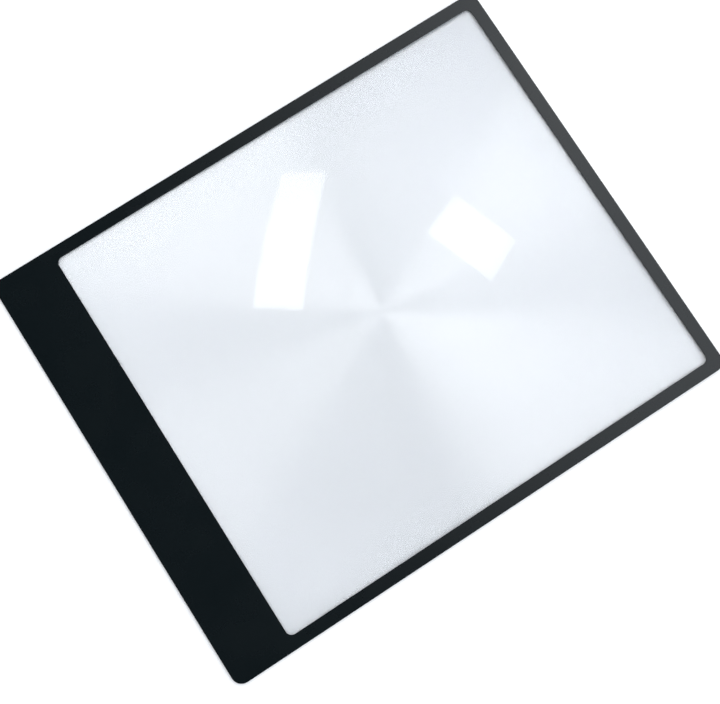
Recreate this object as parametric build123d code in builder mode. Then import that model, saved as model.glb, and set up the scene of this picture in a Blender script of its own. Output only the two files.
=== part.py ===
"""Full-page sheet magnifier: a clear lens sheet laminated between two black borders.

Millimetres. The origin is the middle of the face that the sheet lies on. +X runs from the
grip to the far rim, +Y across the sheet, and +Z out of the front, towards the reader.
"""
import os
from math import atan, cos, hypot, radians, sin, tan

from build123d import *

# Outline, the same for every layer because the finished stack is die-cut in one stroke
sheet_length = 260.0
sheet_width = 209.5
outline_radius = 5.0

# Window in each border
grip_width = 30.0
rim_width = 6.0
window_radius = 3.0

# Layers
border_thickness = 0.25
adhesive_thickness = 0.05
lens_thickness = 0.6
rolled_edge = 0.08  # the die rolls over the cut edges of each border's outer face

# Lens: one smooth cap in the middle, then a groove for each step of the pitch
focal_length = 450.0
refractive_index = 1.54  # of clear rigid PVC
groove_pitch = 0.5
cap_radius = 6.0
riser_draft = 4.0  # degrees that each riser leans, so that the sheet leaves its press plate
emboss_depth = 0.02  # of the ridge tops below the sheet's front face
hidden_margin = 1.0  # the grooves run on this far under the front border
plate_height = 1.0  # of the press plate's body above the sheet

# Sizes that follow from those
window_length = sheet_length - grip_width - rim_width
window_width = sheet_width - 2 * rim_width
window_x = (grip_width - rim_width) / 2
back_adhesive_z = border_thickness
lens_z = back_adhesive_z + adhesive_thickness
front_adhesive_z = lens_z + lens_thickness
front_border_z = front_adhesive_z + adhesive_thickness
grooved_length = window_length + 2 * hidden_margin
grooved_width = window_width + 2 * hidden_margin
grooved_corner_radius = window_radius + hidden_margin
grooved_reach = hypot(grooved_length, grooved_width) / 2
ridge_z = front_adhesive_z - emboss_depth
plate_top_z = front_adhesive_z + plate_height


def facet_slope(radius):
    """Rise over run of the facet that bends light from the focus straight at this radius."""
    bend = atan(radius / focal_length)
    return sin(bend) / (refractive_index - cos(bend))


def draw_outline():
    """Draw the die-cut outline in the sketch that is open."""
    RectangleRounded(sheet_length, sheet_width, outline_radius)


def draw_border():
    """Draw the outline in the sketch that is open, with the window punched out of it."""
    draw_outline()
    with Locations((window_x, 0)):
        RectangleRounded(window_length, window_width, window_radius, mode=Mode.SUBTRACT)


os.makedirs("parts", exist_ok=True)

# Back border: black sheet, face down on the page
with BuildPart() as back_border:
    with BuildSketch():
        draw_border()
    extrude(amount=border_thickness)
    resting_face = back_border.faces().sort_by(Axis.Z)[0]
    fillet(resting_face.edges(), radius=rolled_edge)

back_border.part.label = "back_border"
export_step(back_border.part, "parts/back_border.step")

# Back adhesive: transfer film, cut with the border that it holds
with BuildPart() as back_adhesive:
    with BuildSketch(Plane.XY.offset(back_adhesive_z)):
        draw_border()
    extrude(amount=adhesive_thickness)

back_adhesive.part.label = "back_adhesive"
export_step(back_adhesive.part, "parts/back_adhesive.step")

# Section of the press plate's grooved face, from the cap's rim outwards: a facet that falls
# away from each ridge, then a riser that leans back up to the next one
cap_depth = facet_slope(cap_radius) * cap_radius / 2
cap_rim_z = ridge_z - cap_depth
teeth = [(cap_radius, ridge_z)]
ridge_radius = cap_radius
while ridge_radius < grooved_reach:
    slope = facet_slope(ridge_radius + groove_pitch / 2)
    riser_run = groove_pitch * slope * tan(radians(riser_draft))
    facet_run = groove_pitch - riser_run
    teeth.append((ridge_radius + facet_run, ridge_z - facet_run * slope))
    ridge_radius += groove_pitch
    teeth.append((ridge_radius, ridge_z))

# Press plate: the section turned about the lens's axis and cut to the grooved rectangle
lens_axis = Axis((window_x, 0, 0), (0, 0, 1))
section_plane = Plane(origin=(window_x, 0, 0), x_dir=(1, 0, 0), z_dir=(0, -1, 0))

with BuildPart() as press_plate:
    with BuildSketch(section_plane):
        with BuildLine():
            cap = ThreePointArc(
                (0, ridge_z),
                (cap_radius / 2, ridge_z - cap_depth / 4),
                (cap_radius, cap_rim_z),
            )
            Line(cap @ 1, teeth[0])
            Polyline(*teeth)
            Polyline(teeth[-1], (ridge_radius, plate_top_z), (0, plate_top_z), (0, ridge_z))
        make_face()
    revolve(axis=lens_axis)
    with BuildSketch(Plane.XY.offset(lens_z)):
        with Locations((window_x, 0)):
            RectangleRounded(grooved_length, grooved_width, grooved_corner_radius)
    extrude(amount=plate_top_z - lens_z, mode=Mode.INTERSECT)

# Lens sheet: clear, full size, smooth at the back and grooved at the front by the press plate
with BuildPart() as lens_sheet:
    with BuildSketch(Plane.XY.offset(lens_z)):
        draw_outline()
    extrude(amount=lens_thickness)
    add(press_plate.part, mode=Mode.SUBTRACT)

lens_sheet.part.label = "lens_sheet"
export_step(lens_sheet.part, "parts/lens_sheet.step")

# Front adhesive
with BuildPart() as front_adhesive:
    with BuildSketch(Plane.XY.offset(front_adhesive_z)):
        draw_border()
    extrude(amount=adhesive_thickness)

front_adhesive.part.label = "front_adhesive"
export_step(front_adhesive.part, "parts/front_adhesive.step")

# Front border: the wide side is the grip
with BuildPart() as front_border:
    with BuildSketch(Plane.XY.offset(front_border_z)):
        draw_border()
    extrude(amount=border_thickness)
    reading_face = front_border.faces().sort_by(Axis.Z)[-1]
    fillet(reading_face.edges(), radius=rolled_edge)

front_border.part.label = "front_border"
export_step(front_border.part, "parts/front_border.step")

groove_count = len(teeth) // 2
deepest_groove = ridge_z - min(z for _, z in teeth)
print(f"{groove_count} grooves, the deepest {deepest_groove:.3f} mm in {lens_thickness} mm")
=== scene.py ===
import math

import bpy
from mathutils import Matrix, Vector


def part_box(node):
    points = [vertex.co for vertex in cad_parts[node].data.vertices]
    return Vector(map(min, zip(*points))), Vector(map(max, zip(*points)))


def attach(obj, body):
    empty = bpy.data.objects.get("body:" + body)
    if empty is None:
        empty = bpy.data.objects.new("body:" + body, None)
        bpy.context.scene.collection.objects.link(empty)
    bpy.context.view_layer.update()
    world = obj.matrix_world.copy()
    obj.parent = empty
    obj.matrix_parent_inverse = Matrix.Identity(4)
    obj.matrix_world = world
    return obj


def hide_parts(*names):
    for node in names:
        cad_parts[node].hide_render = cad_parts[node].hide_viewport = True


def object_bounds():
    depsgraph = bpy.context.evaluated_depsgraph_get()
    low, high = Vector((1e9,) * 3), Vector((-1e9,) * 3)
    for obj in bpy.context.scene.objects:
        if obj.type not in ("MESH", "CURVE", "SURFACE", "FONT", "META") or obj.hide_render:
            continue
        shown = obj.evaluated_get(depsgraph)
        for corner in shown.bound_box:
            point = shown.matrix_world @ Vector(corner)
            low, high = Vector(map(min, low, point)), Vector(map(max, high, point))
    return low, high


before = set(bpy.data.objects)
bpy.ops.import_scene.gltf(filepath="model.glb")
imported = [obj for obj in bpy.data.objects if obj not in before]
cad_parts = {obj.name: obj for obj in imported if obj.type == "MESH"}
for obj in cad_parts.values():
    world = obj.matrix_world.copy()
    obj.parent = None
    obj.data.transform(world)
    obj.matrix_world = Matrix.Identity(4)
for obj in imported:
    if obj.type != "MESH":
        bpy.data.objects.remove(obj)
cadLow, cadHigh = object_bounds()
bpy.ops.object.select_all(action="DESELECT")
print("frame loaded:", ", ".join(sorted(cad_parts)))

mm = 0.001

# the lens is centred in the window, and the grip takes up the rest of the length
sheetLow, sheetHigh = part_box("lens_sheet")
windowSize = Vector((0.224, 0.1975))
rimWidth = 6 * mm
lensCentre = Vector((sheetHigh.x - rimWidth - windowSize.x / 2, 0, 0))


# ---- camera: almost straight above, turned so that the grip is at the lower left
view = {
    "place": (-0.0332, -0.0395, 0.3840),
    "turn": (5.79, -0.975, -32.73),    # degrees about X, Y and Z
    "focalLength": 42.78,
    "nearest": 5 * mm,
}


def makeCamera():
    bpy.ops.object.camera_add(location=view["place"])
    camera = bpy.context.object
    camera.name = "camera"
    camera.rotation_euler = [math.radians(a) for a in view["turn"]]
    camera.data.lens = view["focalLength"]
    camera.data.clip_start = view["nearest"]
    bpy.context.scene.camera = camera
    bpy.context.scene.view_settings.view_transform = "Standard"


makeCamera()
print("camera placed")


# ---- small helpers for node trees
def addNode(tree, kind, **inputs):
    node = tree.nodes.new("ShaderNode" + kind)
    for key, value in inputs.items():
        node.inputs[key.replace("_", " ")].default_value = value
    return node


def addMath(tree, kind, operation, *values):
    # kind is Math or VectorMath, and a value is a number, a vector or another node's output
    node = addNode(tree, kind)
    node.operation = operation
    for socket, value in zip(node.inputs, values):
        if isinstance(value, bpy.types.NodeSocket):
            tree.links.new(value, socket)
        else:
            socket.default_value = value
    return node.outputs[0]


def addRange(tree, source, low, high, outLow, outHigh):
    node = addNode(
        tree, "MapRange", From_Min=low, From_Max=high, To_Min=outLow, To_Max=outHigh
    )
    tree.links.new(source, node.inputs["Value"])
    return node.outputs["Result"]


# ---- light: two softboxes beyond the sheet, in a pale room that is brighter on one side
lamps = {
    "tallSoftbox": {
        "place": (-0.055, 0.89, 1.07),
        "size": (0.33, 1.05),
        "turn": -38,            # degrees about Z
        "radiance": 4.4,
        "shadedFrom": ("back_border", "front_border"),
    },
    "squareSoftbox": {
        "place": (0.962, 0.240, 1.09),
        "size": (0.43, 0.52),
        "turn": 22,
        "radiance": 3.7,
        "shadedFrom": (),
    },
}
room = {
    "colour": (0.93, 0.96, 1.0),
    # middle strength, how much more towards the bright side, and that side in degrees about Z
    "ceiling": (0.08, 5.5, -3),
    "walls": (1.80, 1.3, -33),
    "darkest": 0.06,
    "brightest": 2.3,
    "wallTop": (0.74, 0.48),    # the ceiling gives way to the walls between these heights
}


def makeLamp(name, plan):
    bpy.ops.object.light_add(type="AREA", location=plan["place"])
    lamp = bpy.context.object
    lamp.name = name
    lamp.rotation_euler.z = math.radians(plan["turn"])
    lamp.data.shape = "RECTANGLE"
    lamp.data.size, lamp.data.size_y = plan["size"]
    lamp.data.energy = plan["radiance"] * math.pi * lamp.data.size * lamp.data.size_y
    if plan["shadedFrom"]:
        # a flag between the lamp and these pieces, so that it shows in the lens alone
        flag = bpy.data.collections.new(name + "Flag")
        for node in plan["shadedFrom"]:
            flag.objects.link(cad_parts[node])
        for item in flag.collection_objects:
            item.light_linking.link_state = "EXCLUDE"
        lamp.light_linking.receiver_collection = flag


def makeRoom():
    world = bpy.data.worlds.new("room")
    bpy.context.scene.world = world
    world.use_nodes = True
    tree = world.node_tree
    where = addNode(tree, "TexCoord")
    blend = addNode(tree, "Mix")
    blend.data_type = "FLOAT"
    for key, socket in (("ceiling", "A"), ("walls", "B")):
        middle, more, side = room[key]
        turned = addNode(tree, "Mapping", Rotation=(0, 0, math.radians(side)))
        turned.vector_type = "TEXTURE"
        tree.links.new(where.outputs["Generated"], turned.inputs["Vector"])
        parts = addNode(tree, "SeparateXYZ")
        tree.links.new(turned.outputs["Vector"], parts.inputs["Vector"])
        light = addMath(tree, "Math", "MULTIPLY_ADD", parts.outputs["X"], more, middle)
        light = addMath(tree, "Math", "MAXIMUM", light, room["darkest"])
        light = addMath(tree, "Math", "MINIMUM", light, room["brightest"])
        tree.links.new(light, blend.inputs[socket])
    height = addRange(tree, parts.outputs["Z"], *room["wallTop"], 0, 1)
    tree.links.new(height, blend.inputs["Factor"])
    back = tree.nodes["Background"]
    back.inputs["Color"].default_value = (*room["colour"], 1)
    tree.links.new(blend.outputs["Result"], back.inputs["Strength"])


for name, plan in lamps.items():
    makeLamp(name, plan)
makeRoom()
print("room and lamps made")


# ---- materials
noiseSpan = (0.3, 0.7)    # most of a noise texture's values lie in here


def newMaterial(name):
    material = bpy.data.materials.new(name)
    material.use_nodes = True
    tree = material.node_tree
    where = addNode(tree, "TexCoord").outputs["Object"]
    return material, tree, tree.nodes["Principled BSDF"], where


def addNoise(tree, where, **inputs):
    node = addNode(tree, "TexNoise", **inputs)
    tree.links.new(where, node.inputs["Vector"])
    return node.outputs["Fac"]


def colourBy(tree, share, dark, pale, socket):
    node = addNode(tree, "Mix")
    node.data_type = "RGBA"
    node.inputs[6].default_value = dark
    node.inputs[7].default_value = pale
    tree.links.new(share, node.inputs[0])
    tree.links.new(node.outputs[2], socket)


vinyl = {
    "dark": (0.0014, 0.0042, 0.0054, 1),
    "pale": (0.0022, 0.0052, 0.0066, 1),
    "grain": 2600,         # per metre
    "grainHeight": 0.006 * mm,
    "smudge": 28,
    "roughness": (0.24, 0.30),
    "gloss": 0.38,
}


def blackVinyl():
    material, tree, shader, where = newMaterial("blackVinyl")
    grain = addNoise(tree, where, Scale=vinyl["grain"], Detail=2)
    smudge = addNoise(tree, where, Scale=vinyl["smudge"], Detail=5, Roughness=0.6)
    colourBy(tree, smudge, vinyl["dark"], vinyl["pale"], shader.inputs["Base Color"])
    rough = addRange(tree, smudge, *noiseSpan, *vinyl["roughness"])
    tree.links.new(rough, shader.inputs["Roughness"])
    bump = addNode(tree, "Bump", Strength=1, Distance=vinyl["grainHeight"])
    tree.links.new(grain, bump.inputs["Height"])
    tree.links.new(bump.outputs["Normal"], shader.inputs["Normal"])
    shader.inputs["Specular IOR Level"].default_value = vinyl["gloss"]
    return material


clear = {
    "tint": (0.942, 0.962, 0.985, 1),
    "lampTint": (0.974, 0.980, 0.99, 1),
    "index": 1.54,
    "roughness": (0.05, 0.09),
    "haze": 40,
    "brushed": 0.20,       # share of the light that the grooves' tool marks fan out
    "brushRoughness": 0.5,
    "brushStretch": 0.93,
}


def clearVinyl():
    material, tree, shader, where = newMaterial("clearVinyl")
    haze = addNoise(tree, where, Scale=clear["haze"], Detail=6, Roughness=0.65)
    rough = addRange(tree, haze, *noiseSpan, *clear["roughness"])
    tree.links.new(rough, shader.inputs["Roughness"])
    shader.inputs["Base Color"].default_value = clear["tint"]
    shader.inputs["IOR"].default_value = clear["index"]
    shader.inputs["Transmission Weight"].default_value = 1
    brushed = addNode(
        tree,
        "BsdfAnisotropic",
        Roughness=clear["brushRoughness"],
        Anisotropy=clear["brushStretch"],
        Color=(1, 1, 1, 1),
    )
    # the tool marks run round the lens's centre
    outwards = addMath(tree, "VectorMath", "SUBTRACT", where, lensCentre)
    around = addMath(tree, "VectorMath", "CROSS_PRODUCT", (0, 0, 1), outwards)
    tree.links.new(around, brushed.inputs["Tangent"])
    surface = addNode(tree, "MixShader", Fac=clear["brushed"])
    tree.links.new(shader.outputs[0], surface.inputs[1])
    tree.links.new(brushed.outputs[0], surface.inputs[2])
    # the lamps' light reaches the floor under the sheet, a little tinted
    lampLight = addNode(tree, "BsdfTransparent", Color=clear["lampTint"])
    ray = addNode(tree, "LightPath")
    pick = addNode(tree, "MixShader")
    tree.links.new(ray.outputs["Is Shadow Ray"], pick.inputs[0])
    tree.links.new(surface.outputs[0], pick.inputs[1])
    tree.links.new(lampLight.outputs[0], pick.inputs[2])
    tree.links.new(pick.outputs[0], tree.nodes["Material Output"].inputs["Surface"])
    return material


adhesive = {
    "tint": (0.75, 0.76, 0.74, 1),
    "index": 1.47,
    "clearness": 0.8,
    "flow": 300,
    "roughness": (0.2, 0.35),
}


def clearAdhesive():
    material, tree, shader, where = newMaterial("clearAdhesive")
    flow = addNoise(tree, where, Scale=adhesive["flow"], Detail=3)
    rough = addRange(tree, flow, *noiseSpan, *adhesive["roughness"])
    tree.links.new(rough, shader.inputs["Roughness"])
    shader.inputs["Base Color"].default_value = adhesive["tint"]
    shader.inputs["IOR"].default_value = adhesive["index"]
    shader.inputs["Transmission Weight"].default_value = adhesive["clearness"]
    return material


paper = {
    "dark": (0.90, 0.90, 0.90, 1),
    "pale": (0.92, 0.92, 0.92, 1),
    "fibre": 900,
    "roughness": 0.9,
}


def palePaper():
    material, tree, shader, where = newMaterial("palePaper")
    fibre = addNoise(tree, where, Scale=paper["fibre"], Detail=4)
    colourBy(tree, fibre, paper["dark"], paper["pale"], shader.inputs["Base Color"])
    shader.inputs["Roughness"].default_value = paper["roughness"]
    return material


# ---- borders and adhesive stay as they are, with their own finish
def dress(node, material):
    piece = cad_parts[node]
    piece.data.materials.clear()
    piece.data.materials.append(material)


black = blackVinyl()
glue = clearAdhesive()
for node in ("back_border", "front_border"):
    dress(node, black)
for node in ("back_adhesive", "front_adhesive"):
    dress(node, glue)
print("borders and adhesive dressed")


# ---- lens sheet: one groove section spun about the lens's axis, cut to the window, closed
lensPlan = {
    "focalLength": 450 * mm,
    "groovePitch": 0.5 * mm,
    "capRadius": 6 * mm,         # one smooth cap inside the first groove
    "capRings": 6,
    "riserDraft": 4,             # degrees
    "ridgeDrop": 0.02 * mm,      # of the ridge tops below the sheet's face
    "hiddenMargin": 1 * mm,      # grooves run on this far under the border
    "turns": 144,
    "outlineRadius": 5 * mm,
    "outlineSteps": 8,
    "smoothAngle": 14,           # degrees
    "mergeGap": 0.0001 * mm,
}


def facetSlope(radius):
    bend = math.atan(radius / lensPlan["focalLength"])
    return math.sin(bend) / (clear["index"] - math.cos(bend))


def sectionSteps(reach):
    # (run, rise) of each step of the section, from the axis outwards
    radius = lensPlan["capRadius"]
    rings = lensPlan["capRings"]
    capDepth = facetSlope(radius) * radius / 2
    steps = []
    for ring in range(rings):
        fall = capDepth * (2 * ring + 1) / rings**2
        steps.append((radius / rings, -fall))
    steps.append((0, capDepth))
    pitch = lensPlan["groovePitch"]
    lean = math.tan(math.radians(lensPlan["riserDraft"]))
    while radius < reach:
        slope = facetSlope(radius + pitch / 2)
        riserRun = pitch * slope * lean
        facetRun = pitch - riserRun
        steps.append((facetRun, -facetRun * slope))
        steps.append((riserRun, facetRun * slope))
        radius += pitch
    return steps


def makeLens():
    mesh = bpy.ops.mesh
    half = windowSize / 2 + Vector((1, 1)) * lensPlan["hiddenMargin"]
    ridgeZ = sheetHigh.z - lensPlan["ridgeDrop"]

    # a plane merged to one point, drawn out step by step into the section
    mesh.primitive_plane_add(size=lensPlan["capRadius"], location=(lensCentre.x, 0, ridgeZ))
    lens = bpy.context.object
    lens.name = "grooved_lens"
    bpy.ops.object.transform_apply()
    bpy.ops.object.mode_set(mode="EDIT")
    mesh.select_all(action="SELECT")
    mesh.merge(type="CENTER")
    for run, rise in sectionSteps(half.length):
        mesh.extrude_region_move(TRANSFORM_OT_translate={"value": (run, 0, rise)})
    mesh.select_all(action="SELECT")
    mesh.spin(
        steps=lensPlan["turns"], angle=math.tau, center=lensCentre, axis=(0, 0, 1)
    )
    mesh.select_all(action="SELECT")
    mesh.remove_doubles(threshold=lensPlan["mergeGap"])

    # cut to the window and the margin that the border hides
    for normal in ((1, 0, 0), (-1, 0, 0), (0, 1, 0), (0, -1, 0)):
        reach = abs(normal[0]) * half.x + abs(normal[1]) * half.y
        mesh.select_all(action="SELECT")
        mesh.bisect(
            plane_co=lensCentre + Vector(normal) * reach, plane_no=normal, clear_outer=True
        )

    # the cut edge rises to the sheet's face
    mesh.select_all(action="DESELECT")
    mesh.select_mode(type="EDGE")
    mesh.select_non_manifold()
    mesh.extrude_edges_move()
    bpy.ops.transform.resize(value=(1, 1, 0), center_override=(0, 0, sheetHigh.z))

    # the sheet's underside and cut sides, then its face around the grooves
    size = sheetHigh - sheetLow
    mesh.select_all(action="DESELECT")
    mesh.primitive_plane_add(size=1, location=(0, 0, sheetLow.z))
    bpy.ops.transform.resize(value=(size.x, size.y, 1), center_override=(0, 0, 0))
    mesh.bevel(
        offset=lensPlan["outlineRadius"], segments=lensPlan["outlineSteps"], affect="VERTICES"
    )
    mesh.region_to_loop()
    mesh.extrude_edges_move(TRANSFORM_OT_translate={"value": (0, 0, size.z)})
    mesh.select_all(action="DESELECT")
    mesh.select_non_manifold()
    mesh.fill(use_beauty=False)
    mesh.select_all(action="SELECT")
    mesh.remove_doubles(threshold=lensPlan["mergeGap"])
    mesh.normals_make_consistent(inside=False)
    bpy.ops.object.mode_set(mode="OBJECT")
    bpy.ops.object.shade_smooth_by_angle(angle=math.radians(lensPlan["smoothAngle"]))
    return lens


lens = makeLens()
lens.data.materials.append(clearVinyl())
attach(lens, "root")
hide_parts("lens_sheet")
triangles = sum(len(face.vertices) - 2 for face in lens.data.polygons)
print("lens made:", triangles, "triangles")


# ---- floor
floorSize = 6    # metres

bpy.ops.mesh.primitive_plane_add(size=floorSize, location=(0, 0, cadLow[2]))
floor = bpy.context.object
floor.name = "floor"
floor.data.materials.append(palePaper())
print("floor laid")
